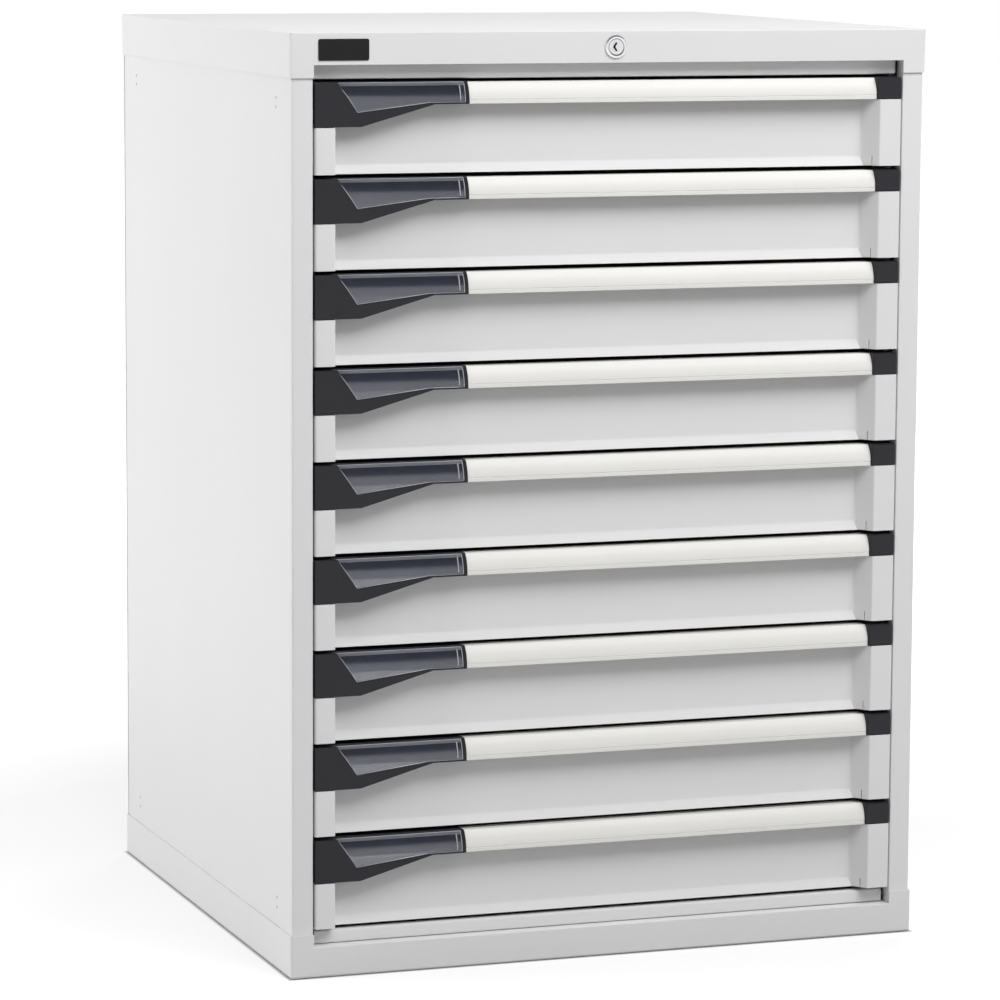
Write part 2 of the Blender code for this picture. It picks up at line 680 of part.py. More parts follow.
def window_outline(growth):
    """The label window seen from the front, drawn out by the growth."""
    top = FRONT_HEIGHT - WINDOW_DROP
    tip = GRIP_FOOT - WINDOW_TIP
    right = RELEASE_RIGHT - WINDOW_RIGHT_MARGIN
    foot = GRIP_FOOT + WINDOW_FOOT
    points = [
        (window_slant(top) + CLEARANCE, top), (window_slant(tip) + CLEARANCE, tip),
        (right - WINDOW_FLAT, foot), (right, foot), (right, top),
    ]
    return moved_aside(points, -growth, closed=True)


def window_space(depth, growth):
    """The part of the window's outline that lies in front of a depth below the grip's face."""
    before = space_before_face(depth, FRONT_HEIGHT - RELEASE_HEIGHT, lambda height: RELEASE_LEFT)
    return combined(before, ("INTERSECT", prism(window_outline(growth), "Y", -2 * OVERRUN, RELEASE_DEPTH)))


def release_grip():
    """The moulded lever: hollow behind, hung on two ribs, with a pocket for the label window."""
    hollow = release_body(RELEASE_WALL, RELEASE_DEPTH + OVERRUN)
    shell = cut(release_body(0, RELEASE_DEPTH), hollow)
    ribs = []
    for edge, inwards in ((RELEASE_LEFT, 1), (RELEASE_RIGHT, -1)):
        near = edge + inwards * (EAR_INSET + EAR_SHEET + RIB_GAP)
        far = near + inwards * EAR_SHEET
        ribs.append(block(
            (min(near, far), PIVOT.y - PIVOT_RADIUS * 1.75, PIVOT.z - PIVOT_RADIUS * 2.5),
            (max(near, far), RELEASE_DEPTH - CLEARANCE, FRONT_HEIGHT - RELEASE_WALL / 2),
        ))
    bore = cylinder(
        PIVOT_RADIUS + PIVOT_CLEARANCE, "X", RELEASE_LEFT + EAR_INSET, RELEASE_RIGHT - EAR_INSET, (PIVOT.y, PIVOT.z)
    )
    pocket = window_space(WINDOW_SHEET + CLEARANCE, CLEARANCE)
    return cut(joined(shell, *ribs), bore, pocket)


def label_window():
    """The clear cover that lies in the release grip's pocket and follows its rounded face."""
    return cut(window_space(WINDOW_SHEET, 0), space_before_face(0, 0, lambda height: RELEASE_LEFT - OVERRUN))


def lock_housing():
    """The bezel on the rail and the barrel behind it, bored for the plug."""
    bezel = cylinder(BEZEL_RADIUS, "Y", FRONT - LOCK_PROUD, FRONT - CLEARANCE, (0, LOCK_HEIGHT), LOCK_SIDES)
    barrel = cylinder(
        BARREL_RADIUS, "Y", FRONT - LOCK_PROUD / 2, FRONT + BARREL_LENGTH, (0, LOCK_HEIGHT), LOCK_SIDES
    )
    bore = cylinder(
        PLUG_RADIUS + CLEARANCE, "Y", FRONT - LOCK_PROUD - OVERRUN, FRONT + BARREL_LENGTH + OVERRUN,
        (0, LOCK_HEIGHT), LOCK_SIDES
    )
    return cut(joined(bezel, barrel), bore)


def lock_plug():
    """The plug with its kinked keyway."""
    face = FRONT - LOCK_PROUD + PLUG_RECESS
    plug = cylinder(PLUG_RADIUS, "Y", face, FRONT + BARREL_LENGTH + PLUG_TAIL, (0, LOCK_HEIGHT), LOCK_SIDES)
    half = KEYWAY_HEIGHT / 2
    path = [
        (KEYWAY_KINK, LOCK_HEIGHT - half), (-KEYWAY_KINK, LOCK_HEIGHT), (KEYWAY_KINK, LOCK_HEIGHT + half)
    ]
    outline = path + moved_aside(path, KEYWAY_WIDTH)[::-1]
    return cut(plug, prism(outline, "Y", face - OVERRUN, face + KEYWAY_DEPTH))


def lock_cam():
    """The arm on the back of the plug, with the pin that drives the rod."""
    face = FRONT + BARREL_LENGTH + PLUG_TAIL + CLEARANCE
    half = CAM_WIDTH / 2
    turn = math.pi / GRIP_SEGMENTS
    outline = [
        (half * math.cos(step * turn), LOCK_HEIGHT + half * math.sin(step * turn)) for step in range(GRIP_SEGMENTS + 1)
    ]
    outline += [
        (-half * math.cos(step * turn), LOCK_HEIGHT - CAM_THROW - half * math.sin(step * turn))
        for step in range(GRIP_SEGMENTS + 1)
    ]
    pin = cylinder(
        CAM_PIN_RADIUS, "Y", face + CAM_SHEET / 2, FRONT + ROD_FACE + ROD_SHEET, (0, LOCK_HEIGHT - CAM_THROW)
    )
    return joined(prism(outline, "Y", face, face + CAM_SHEET), pin)


def lock_rod():
    """The flat rod: a slot for the cam's pin, and a slanted slot that lowers the locking bar."""
    face = FRONT + ROD_FACE
    half_slot = ROD_SLOT_WIDTH / 2
    rod = block(
        (-half_slot - ROD_END, face, ROD_LOW), (BAR_PIN_X + ROD_END, face + ROD_SHEET, ROD_LOW + ROD_HEIGHT)
    )
    slot_low = LOCK_HEIGHT - CAM_THROW - CAM_WIDTH / 2
    cam_slot = block(
        (-half_slot, face - OVERRUN, slot_low), (half_slot, face + OVERRUN, slot_low + ROD_SLOT_HEIGHT)
    )
    reach = BAR_PIN_RADIUS + PIVOT_CLEARANCE
    along = Vector((1, 1)).normalized() * reach
    across = Vector((-1, 1)).normalized() * reach
    upper = Vector((BAR_PIN_X, BAR_PIN_Z))
    lower = upper - Vector((ROD_TRAVEL, ROD_TRAVEL))
    bar_slot = prism(
        [lower - along - across, upper + along - across, upper + along + across, lower - along + across],
        "Y", face - OVERRUN, face + OVERRUN,
    )
    return cut(rod, cam_slot, bar_slot)


def locking_bar():
    """The upright bar behind the right post, with one tab above each drawer's lug."""
    face = FRONT + BAR_FACE
    low = drawer_height(DRAWER_COUNT - 1) + BAR_FOOT + ROD_TRAVEL
    high = BAR_PIN_Z + BAR_PIN_RADIUS * 2
    bar = block((BAR_LEFT, face, low), (BAR_LEFT + BAR_WIDTH, face + BAR_SHEET, high))
    tabs = []
    for index in range(DRAWER_COUNT):
        tab_low = drawer_height(index) + TRAY_TOP + TAB_ABOVE_LUG
        tabs.append(block(
            (BAR_LEFT - TAB_REACH, face + CLEARANCE, tab_low),
            (BAR_LEFT + BAR_WIDTH / 2, face + BAR_SHEET - CLEARANCE, tab_low + TAB_HEIGHT),
        ))
    pin = cylinder(BAR_PIN_RADIUS, "Y", FRONT + ROD_FACE, face + BAR_SHEET / 2, (BAR_PIN_X, BAR_PIN_Z))
    return joined(bar, *tabs, pin)


def material(name, finish):
    """A Principled material with a finish's colour, roughness, metallic value and alpha."""
    made = bpy.data.materials.new(name)
    made.use_nodes = True
    shader = made.node_tree.nodes["Principled BSDF"]
    colour, roughness, metallic, alpha = finish
    shader.inputs["Base Color"].default_value = (*colour, 1)
    shader.inputs["Roughness"].default_value = roughness
    shader.inputs["Metallic"].default_value = metallic
    shader.inputs["Alpha"].default_value = alpha
    return made


def place(name, mesh, finish, parent=None, round_part=False):
    """An object for the mesh under its parent, with a material of its own kind."""
    if not mesh.materials:
        mesh.materials.append(material(name.rstrip("_0123456789") + "_finish", finish))
    if round_part:
        mesh.shade_smooth()
        mesh.set_sharp_from_angle(angle=math.radians(35))
    item = bpy.data.objects.new(name, mesh)
    bpy.context.scene.collection.objects.link(item)
    item.parent = parent
    return item


def pivot(name, location, parent=None):
    """An empty on a joint's axis."""
    empty = bpy.data.objects.new(name, None)
    bpy.context.scene.collection.objects.link(empty)
    empty.parent = parent
    empty.location = location
    return empty


def about(mesh, centre):
    """The mesh with its origin moved to a point."""
    mesh.transform(Matrix.Translation(-Vector(centre)))
    return mesh


def build_housing():
    """The fixed sheet parts."""
    place("top_cover", top_cover(), POWDER_COAT)
    place("base_tray", base_tray(), POWDER_COAT)
    right_panel = side_panel()
    place("left_side_panel", mirrored(right_panel), POWDER_COAT)
    place("right_side_panel", right_panel, POWDER_COAT)
    place("back_panel", back_panel(), POWDER_COAT)
    place("upper_crossbar", upper_crossbar(), POWDER_COAT)
    place("lower_crossbar", lower_crossbar(), POWDER_COAT)
    right_frame = runner_frame()
    place("left_runner_frame", mirrored(right_frame), POWDER_COAT)
    place("right_runner_frame", right_frame, POWDER_COAT)


def build_drawers():
    """The drawers, from the top down, which share their meshes."""
    tray = drawer_tray()
    grip = grip_profile()
    cap = end_cap()
    release = about(release_grip(), PIVOT)
    window = about(label_window(), PIVOT)
    for index in range(DRAWER_COUNT):
        number = index + 1
        slide = pivot(f"drawer_{number}_slide", (0, FRONT, drawer_height(index)))
        place(f"drawer_tray_{number}", tray, POWDER_COAT, slide)
        place(f"grip_profile_{number}", grip, CREAM, slide, round_part=True)
        place(f"end_cap_{number}", cap, DARK_PLASTIC, slide)
        hinge = pivot(f"release_{number}_hinge", PIVOT, slide)
        place(f"release_grip_{number}", release, DARK_PLASTIC, hinge)
        place(f"label_window_{number}", window, CLEAR_PLASTIC, hinge)


def build_lock():
    """The cylinder lock and the rod and bar that it moves."""
    axis = Vector((0, FRONT, LOCK_HEIGHT))
    place("lock_housing", lock_housing(), CHROME, round_part=True)
    turning = pivot("lock_turn", axis)
    place("lock_plug", about(lock_plug(), axis), CHROME, turning, round_part=True)
    place("lock_cam", about(lock_cam(), axis), ZINC, turning, round_part=True)
    place("lock_rod", lock_rod(), ZINC)
    place("locking_bar", locking_bar(), ZINC)


def main():
    for item in list(bpy.data.objects):
        bpy.data.objects.remove(item)
    build_housing()
    build_drawers()
    build_lock()


main()
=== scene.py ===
"""Looks for the drawer cabinet: soft sheet edges, mouldings, finishes, floor, light and camera.

Metres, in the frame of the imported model: +Z up, the drawer fronts towards -Y, and the origin
on the floor in the middle of the cabinet. Each piece that shows is a merged copy of its node
with its edges and bends eased, and small marks on the sheet are added. The back, the runner
frames and the hidden lock parts stay as they are and only get a finish.
"""
import math

import bmesh
import bpy
from mathutils import Matrix, Vector


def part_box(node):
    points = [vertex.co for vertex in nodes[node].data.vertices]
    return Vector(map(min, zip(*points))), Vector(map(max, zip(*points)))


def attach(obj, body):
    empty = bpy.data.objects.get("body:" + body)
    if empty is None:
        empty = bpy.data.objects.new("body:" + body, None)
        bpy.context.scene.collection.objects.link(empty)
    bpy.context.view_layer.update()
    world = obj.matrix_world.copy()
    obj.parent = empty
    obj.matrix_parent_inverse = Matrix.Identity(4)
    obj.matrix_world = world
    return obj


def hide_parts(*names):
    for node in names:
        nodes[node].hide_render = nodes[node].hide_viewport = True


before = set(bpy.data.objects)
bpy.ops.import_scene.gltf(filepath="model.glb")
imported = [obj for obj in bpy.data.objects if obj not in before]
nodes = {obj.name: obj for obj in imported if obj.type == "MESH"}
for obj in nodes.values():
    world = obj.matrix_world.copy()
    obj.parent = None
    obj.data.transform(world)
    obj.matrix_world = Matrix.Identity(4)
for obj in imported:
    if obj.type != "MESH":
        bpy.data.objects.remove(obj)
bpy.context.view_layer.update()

# Places that the looks share with the model
DRAWERS = range(1, 10)
DRAWER_PITCH = 0.1
LOWEST_DRAWER = 0.0525
FRONT = -0.33625
BACK = 0.33875
SIDE_WALL = 0.3582
SIDE_SKIRT = 0.36
RAIL_TOP = 0.0335
LOCK = Vector((0, FRONT, 0.98325))

# The recessed panel of a drawer's front, its leaning lip and the slanted wall at its right
PANEL_FACE = FRONT + 0.021
PANEL_BEND = 0.0096
PANEL_HALF = 0.335
PANEL_HEIGHT = 0.095
LIP_HEIGHT = 0.010
LIP_LEAN = 0.005
LIP_DEPTH = 0.0022
FLATTER_LEAN = 0.0008
RIGHT_WALL_FOOT = 0.293
RIGHT_WALL_SLOPE = 0.676
RIGHT_CORNER = (0.008, 0.0052)
SOFT_BEND = 0.0014
WIDE_BEND = 0.0065

# The lever, the pocket in it and the window over the pocket
LEVER_FLAT = 0.0722
LEVER_RADIUS = 0.038
POCKET_DEPTH = (0.0008, 0.0030)
# Painted highlights on the window: the width of the lighter band round its front, and where a lighter strip
# runs near its right end, clear of its foot and head
HIGHLIGHT_BAND_WIDTH = 0.0006
HIGHLIGHT_STREAK = (-0.1738, -0.1727)
STREAK_FOOT = 0.012
STREAK_HEAD = 0.003

# The bends at the top of the cap, which are made tighter
CAP_BEND = 0.0031
CAP_SKIN = 0.001
CAP_TIGHTER = 3

# How far edges are eased
RAIL_EASE = 0.0010
SHEET_EASE = 0.0003
CROSSBAR_EASE = 0.0004
LEVER_EASE = 0.0004
END_CAP_EASE = 0.0005
WINDOW_EASE = 0.0002
PLUG_EASE = 0.00025
PLATE_EASE = 0.0001

# The lock's bezel, as radius and depth, and its keyway
BEZEL = (
    (0.0086, -0.0017), (0.0090, -0.0022), (0.0100, -0.0025), (0.0110, -0.0024), (0.0118, -0.0018),
    (0.01225, -0.0009), (0.01225, -0.0003), (0.0095, -0.0003), (0.0095, 0.0220), (0.0086, 0.0220),
)
KEYWAY_HALF = (0.0030, 0.0055)
KEYWAY_DEPTH = 0.008
KEYWAY_WIDER = 1.35
# Where the keyway's walls are painted black, as painted shade inside the slot
KEYWAY_SHADE_HALF = (0.0045, 0.0065)
KEYWAY_SHADE_DEPTH = (-0.003, 0.015)

# The bare plate on the rail
PLATE_CENTRE = Vector((-0.3018, FRONT - 0.0004, 0.9822))
PLATE_SIZE = (0.0552, 0.0010, 0.0224)
PLATE_CORNER = 0.0020
PLATE_RIM = 0.0008
PLATE_SINK = 0.0002

# The spot-weld marks on the side walls and the back
MARK_RADIUS = 0.0016
MARK_GAP = 0.00005
MARK_HEIGHT = 0.00025
SIDE_MARKS_ACROSS = (-0.280, 0.280)
SIDE_MARKS_UP = (0.067, 0.078, 0.921, 0.931)
BACK_MARKS_ACROSS = 0.343
BACK_MARKS_UP = [0.080 + 0.120 * step for step in range(8)]

# Floor, world and lamps: name, place, point aimed at, width, height and watts
FLOOR_HALF = 15
FLOOR_PAINT = 0.45
FLOOR_GLOW = [(0.20, 0.54), (0.55, 1.0)]
GLOW_SPREAD = 0.25
# Painted contact shade: the floor's glow fades out over the last 2.5 mm to the cabinet's foot, where the real
# shadow shows
CONTACT_SHADE = [(0.0, 0.0), (0.0025, 1.0)]
CEILING = [(0.32, 0.95), (0.48, 0.15)]
AMBIENT = 0.30
SOFTBOXES = (
    ("front_softbox", (0.2, -2.4, 3.4), (0, 0, 0.7), 2.6, 2.0, 82),
    ("right_softbox", (1.6, -2.2, 3.2), (0, -0.2, 0.6), 1.8, 1.8, 41),
    ("top_softbox", (0, -0.2, 3.2), (0, 0, 0.9), 2.0, 1.2, 5),
    ("rear_softbox", (2.4, 3.6, 1.1), (0.2, 0.3, 0.5), 2.4, 1.8, 95),
    ("side_softbox", (-3.6, 1.1, 1.7), (-0.36, 0, 0.6), 2.2, 2.4, 100),
)

# The photograph's viewpoint: yaw, pitch and roll in degrees, lens and sensor in millimetres
CAMERA_PLACE = (-1.71634629, -4.78916265, 1.14984708)
CAMERA_TURNS = (19.63864034, 7.77118426, 0.31037381)
LENS = 161.6820742
SENSOR = 36

# Slack around a place, and the least distances at which corners merge and cuts are made
SLACK = 0.0001
SAME_PLANE = 0.00002
MERGE = 0.000002
CUT = 0.000001


def drawer_foot(number):
    """The height of the lower edge of a drawer's front."""
    return LOWEST_DRAWER + DRAWER_PITCH * (len(DRAWERS) - number)


class Value:
    """A number that comes out of a shader node and can be used in an expression."""

    def __init__(self, finish, socket):
        self.finish = finish
        self.socket = socket

    def _with(self, operation, first, second):
        return self.finish.node("ShaderNodeMath", {"operation": operation}, [first, second])

    def __add__(self, other):
        return self._with("ADD", self, other)

    __radd__ = __add__

    def __rsub__(self, other):
        return self._with("SUBTRACT", other, self)

    def __mul__(self, other):
        return self._with("MULTIPLY", self, other)

    __rmul__ = __mul__


class Finish:
    """A node tree, and the one way that nodes are added to it."""

    def __init__(self, owner):
        owner.use_nodes = True
        self.owner = owner
        self.tree = owner.node_tree
        self.tree.nodes.clear()

    def node(self, kind, settings=None, sockets=(), output=0):
        """Adds a node: its settings first, then its sockets' values or links, by place or by name."""
        made = self.tree.nodes.new(kind)
        for name, setting in (settings or {}).items():
            if name == "stops":
                stops = made.color_ramp.elements
                for stop, (position, level) in zip(stops, setting):
                    stop.position = position
                    stop.color = (level, level, level, 1)
            else:
                setattr(made, name, setting)
        pairs = sockets.items() if isinstance(sockets, dict) else enumerate(sockets)
        for name, given in pairs:
            if isinstance(given, Value):
                self.tree.links.new(given.socket, made.inputs[name])
            else:
                made.inputs[name].default_value = given
        return Value(self, made.outputs[output]) if made.outputs else None

    def ray(self, kind):
        """1 for rays of a kind, such as Camera or Glossy, and 0 for the others."""
        return self.node("ShaderNodeLightPath", output=f"Is {kind} Ray")

    def ramp(self, stops, factor):
        """A grey level between two stops."""
        return self.node("ShaderNodeValToRGB", {"stops": stops}, [factor])

    def vector(self, operation, sockets, output="Vector"):
        return self.node("ShaderNodeVectorMath", {"operation": operation}, sockets, output)

    def part(self, axis, vector):
        """One coordinate of a vector."""
        return self.node("ShaderNodeSeparateXYZ", {}, [vector], axis)

    def place(self, stretch=(1, 1, 1), centre=(0, 0, 0)):
        """Object coordinates, moved and stretched."""
        spot = self.node("ShaderNodeTexCoord", output="Object")
        sockets = {"Vector": spot, "Location": centre, "Scale": stretch}
        return self.node("ShaderNodeMapping", {"vector_type": "POINT"}, sockets)

    def noise(self, scale, detail=2.0, roughness=0.5, stretch=(1, 1, 1)):
        """Noise with features about 1 / scale metres across."""
        sockets = {"Vector": self.place(stretch), "Scale": scale, "Detail": detail, "Roughness": roughness}
        return self.node("ShaderNodeTexNoise", {"noise_dimensions": "3D"}, sockets, "Fac")

    def between(self, factor, first, second):
        """A colour between two colours."""
        return self.node(
            "ShaderNodeMix", {"data_type": "RGBA", "clamp_factor": True},
            {0: factor, 6: (*first, 1), 7: (*second, 1)}, 2,
        )

    def relief(self, height, depth, strength=1.0, under=None):
        """Bump from a height between 0 and 1, its depth in metres."""
        sockets = {"Strength": strength, "Distance": depth, "Height": height}
        if under is not None:
            sockets["Normal"] = under
        return self.node("ShaderNodeBump", {}, sockets)

    def surface(self, colour, roughness, normal, **constants):
        """The Principled shader and the output."""
        sockets = {"Base Color": colour, "Roughness": roughness, "Normal": normal}
        sockets.update({name.replace("_", " "): given for name, given in constants.items()})
        shader = self.node("ShaderNodeBsdfPrincipled", {}, sockets)
        self.node("ShaderNodeOutputMaterial", {}, {"Surface": shader})
        return self.owner


def new_finish(name, viewport_colour):
    material = bpy.data.materials.new(name)
    material.diffuse_color = (*viewport_colour, 1)
    return Finish(material)


def powder_coat():
    """Light-grey powder coat: a fine orange peel and hardly any variation in colour."""
    finish = new_finish("powder_coat", (0.73, 0.73, 0.73))
    cloud = finish.noise(6, detail=3)
    peel = finish.noise(620, detail=2, roughness=0.55)
    grain = finish.noise(2600, detail=1)
    colour = finish.between(cloud, (0.722, 0.722, 0.724), (0.748, 0.748, 0.748))
    roughness = 0.40 + 0.10 * peel
    swell = finish.relief(peel, 0.00006, 0.35)
    return finish.surface(colour, roughness, finish.relief(grain, 0.00002, 0.25, swell), IOR=1.5)


def cream_coat():
    """Cream coat on an extrusion: smooth, with faint draw lines along its length."""
    finish = new_finish("cream_coat", (0.86, 0.85, 0.82))
    cloud = finish.noise(9, detail=2)
    lines = finish.noise(1, detail=3, stretch=(4, 1500, 1500))
    peel = finish.noise(900, detail=1)
    colour = finish.between(cloud, (0.757, 0.750, 0.723), (0.783, 0.776, 0.750))
    roughness = 0.28 + 0.10 * lines
    drawn = finish.relief(lines, 0.00003, 0.35)
    return finish.surface(colour, roughness, finish.relief(peel, 0.00003, 0.2, drawn), IOR=1.5)


def anthracite_moulding():
    """Dark moulded plastic with a fine eroded texture."""
    finish = new_finish("anthracite_moulding", (0.03, 0.03, 0.035))
    cloud = finish.noise(40, detail=3)
    texture = finish.noise(1500, detail=2, roughness=0.6)
    colour = finish.between(cloud, (0.0150, 0.0147, 0.0185), (0.0198, 0.0194, 0.0235))
    roughness = 0.46 + 0.16 * texture
    relief = finish.relief(texture, 0.00005, 0.5)
    return finish.surface(colour, roughness, relief, IOR=1.5, Specular_IOR_Level=0.3)


def pocket_plastic():
    """The smoother, bluish plastic of the pocket that shows through the window."""
    finish = new_finish("pocket_plastic", (0.03, 0.03, 0.04))
    cloud = finish.noise(30, detail=2)
    texture = finish.noise(700, detail=2)
    colour = finish.between(cloud, (0.0320, 0.0370, 0.0680), (0.0390, 0.0440, 0.0800))
    relief = finish.relief(texture, 0.00002, 0.3)
    return finish.surface(colour, 0.30 + 0.10 * texture, relief, IOR=1.5)


def clear_window():
    """Clear plastic with a slight haze in its polish."""
    finish = new_finish("clear_window", (0.6, 0.63, 0.7))
    haze = finish.noise(60, detail=3)
    swirl = finish.noise(1, detail=2, stretch=(25, 120, 120))
    colour = finish.between(haze, (0.90, 0.92, 0.96), (0.95, 0.96, 0.99))
    return finish.surface(
        colour, 0.06 + 0.05 * haze, finish.relief(swirl, 0.00003, 0.10), IOR=1.49,
        Transmission_Weight=1.0, Coat_Weight=0.35, Coat_Roughness=0.06,
    )


def frosted_edge_and_painted_highlight():
    """The cut edges of the window, frosted, and a painted highlight on a thin band round its front and on a
    strip near its right end.
    """
    finish = new_finish("frosted_edge_and_painted_highlight", (0.6, 0.62, 0.66))
    grain = finish.noise(1400, detail=2)
    colour = finish.between(grain, (0.30, 0.31, 0.34), (0.52, 0.53, 0.57))
    relief = finish.relief(grain, 0.00004, 0.4)
    return finish.surface(colour, 0.35 + 0.2 * grain, relief, IOR=1.49)


def polished_chrome():
    """Polished chrome with faint turning marks."""
    finish = new_finish("polished_chrome", (0.78, 0.78, 0.79))
    cloud = finish.noise(300, detail=2)
    marks = finish.noise(2200, detail=2)
    colour = finish.between(cloud, (0.70, 0.70, 0.71), (0.80, 0.80, 0.81))
    relief = finish.relief(marks, 0.00002, 0.3)
    return finish.surface(colour, 0.24 + 0.12 * cloud, relief, Metallic=1.0)


def zinc_plate():
    """Zinc plate with a soft cloudy bloom."""
    finish = new_finish("zinc_plate", (0.6, 0.61, 0.63))
    bloom = finish.noise(70, detail=4, roughness=0.6)
    grain = finish.noise(1200, detail=2)
    colour = finish.between(bloom, (0.50, 0.51, 0.52), (0.66, 0.67, 0.68))
    relief = finish.relief(grain, 0.00003, 0.3)
    return finish.surface(colour, 0.30 + 0.2 * bloom, relief, Metallic=1.0)


def black_lacquer_and_keyway_shade():
    """Black lacquer on a small bare plate, and painted shade inside the keyway."""
    finish = new_finish("black_lacquer_and_keyway_shade", (0.01, 0.01, 0.01))
    cloud = finish.noise(160, detail=2)
    peel = finish.noise(900, detail=1)
    colour = finish.between(cloud, (0.0080, 0.0080, 0.0085), (0.0120, 0.0120, 0.0125))
    relief = finish.relief(peel, 0.00003, 0.3)
    return finish.surface(colour, 0.40 + 0.08 * cloud, relief, IOR=1.5, Specular_IOR_Level=0.2)


def shadow_paint():
    """The same coat, darker, on the small spot-weld marks in the sheet: painted shade."""
    finish = new_finish("shadow_paint", (0.5, 0.5, 0.5))
    peel = finish.noise(900, detail=2)
    colour = finish.between(peel, (0.44, 0.44, 0.44), (0.54, 0.54, 0.54))
    relief = finish.relief(peel, 0.00004, 0.3)
    return finish.surface(colour, 0.5 + 0.1 * peel, relief, IOR=1.5)


def white_floor():
    """A white floor that keeps the cabinet's shadow, and glows only outside the cabinet's foot, the glow fading
    out towards the foot as painted contact shade over the real shadow.
    """
    finish = new_finish("white_floor", (1, 1, 1))
    seen, mirrored, through = (finish.ray(kind) for kind in ("Camera", "Glossy", "Transmission"))
    paint = finish.node("ShaderNodeBsdfDiffuse", {}, {"Color": (FLOOR_PAINT, FLOOR_PAINT, FLOOR_PAINT, 1)})
    far = finish.vector("LENGTH", [finish.place()], "Value")
    level = finish.ramp(FLOOR_GLOW, far * GLOW_SPREAD)
    aside = finish.vector("ABSOLUTE", [finish.place(centre=(0, -(FRONT + BACK) / 2, 0))])
    beyond = finish.vector("SUBTRACT", [aside, (SIDE_SKIRT, (BACK - FRONT) / 2, 0)])
    coordinates = [finish.part(axis, beyond) for axis in "XY"]
    gap = finish.node("ShaderNodeMath", {"operation": "MAXIMUM"}, coordinates)
    # The glow fades out near the foot: painted contact shade over the real shadow
    sockets = {"Color": level * finish.ramp(CONTACT_SHADE, gap), "Strength": seen + mirrored + through}
    glow = finish.node("ShaderNodeEmission", {}, sockets)
    both = finish.node("ShaderNodeAddShader", {}, [paint, glow])
    finish.node("ShaderNodeOutputMaterial", {}, {"Surface": both})
    return finish.owner


COAT = powder_coat()
CREAM = cream_coat()
MOULDING = anthracite_moulding()
POCKET = pocket_plastic()
CLEAR = clear_window()
RIM_AND_HIGHLIGHT = frosted_edge_and_painted_highlight()
CHROME = polished_chrome()
ZINC = zinc_plate()
BLACK_AND_KEYWAY_SHADE = black_lacquer_and_keyway_shade()
SHADE = shadow_paint()


def merged(node, whole_faces=False):
    """A copy of a node as one closed shape, with its flat faces made whole if they have no holes."""
    shape = bmesh.new()
    shape.from_mesh(nodes[node].data)
    bmesh.ops.remove_doubles(shape, verts=shape.verts, dist=MERGE)
    if whole_faces:
        bmesh.ops.dissolve_limit(shape, angle_limit=math.radians(0.3), verts=shape.verts, edges=shape.edges)
    for face in shape.faces:
        face.material_index = 0
    return shape


def sharp_edges(shape, angle=48):
    """The edges between two faces that turn by more than an angle."""
    limit = math.radians(angle)
    return [edge for edge in shape.edges if edge.is_manifold and edge.calc_face_angle() > limit]


def ease(shape, edges, width, segments=2):
    """Rounds edges, or fills inner corners, by a small bevel."""
    if edges:
        bmesh.ops.bevel(
            shape, geom=edges, offset=width, offset_type="OFFSET", segments=segments, profile=0.5,
            affect="EDGES", material=-1, clamp_overlap=False,
        )


def with_edges(faces):
    """Faces with their edges and corners, each of them once."""
    edges = dict.fromkeys(edge for face in faces for edge in face.edges)
    corners = dict.fromkeys(corner for face in faces for corner in face.verts)
    return [*faces, *edges, *corners]


def line_across(shape, faces, point, normal):
    """Cuts a line across faces, and gives back what lies on both its sides."""
    return bmesh.ops.bisect_plane(
        shape, geom=with_edges(faces), dist=CUT, plane_co=point, plane_no=normal
    )["geom"]


def faces_in(shape, low, high):
    """The faces that lie wholly in a box."""
    return [
        face for face in shape.faces
        if all(low[axis] <= corner.co[axis] <= high[axis] for corner in face.verts for axis in range(3))
    ]


def put(shape, name, body, materials, stands_for=(), crease=35):
    """Makes a piece of a shape, shades it smooth between its creases and lets it ride on a body."""
    many_sided = [face for face in shape.faces if len(face.verts) > 4]
    bmesh.ops.triangulate(shape, faces=many_sided, quad_method="BEAUTY", ngon_method="EAR_CLIP")
    for face in shape.faces:
        face.smooth = True
    for edge in shape.edges:
        edge.smooth = not (edge.is_manifold and edge.calc_face_angle() > math.radians(crease))
    mesh = bpy.data.meshes.new(name)
    shape.to_mesh(mesh)
    shape.free()
    for material in materials:
        mesh.materials.append(material)
    piece = bpy.data.objects.new(name, mesh)
    bpy.context.scene.collection.objects.link(piece)
    weighted = piece.modifiers.new("flat_faces_stay_flat", "WEIGHTED_NORMAL")
    weighted.keep_sharp = True
    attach(piece, body)
    if stands_for:
        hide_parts(*stands_for)


def eased_copy(node, body, material, width, angle=48, segments=2):
    """A copy of a node with its bends smooth and its sharp edges eased, in the node's place."""
    shape = merged(node, whole_faces=True)
    ease(shape, sharp_edges(shape, angle), width, segments)
    put(shape, f"{node}_eased", body, [material], [node])


def base():
    """The base, with the upper edge of its front rail rounded."""
    shape = merged("base_tray")
    rail_edge = [
        edge for edge in shape.edges
        if all(
            abs(corner.co.y - FRONT) < SAME_PLANE and abs(corner.co.z - RAIL_TOP) < SAME_PLANE
            for corner in edge.verts
        )
    ]
    ease(shape, rail_edge, RAIL_EASE, 3)
    put(shape, "base_tray_eased", "cabinet", [COAT], ["base_tray"], crease=50)


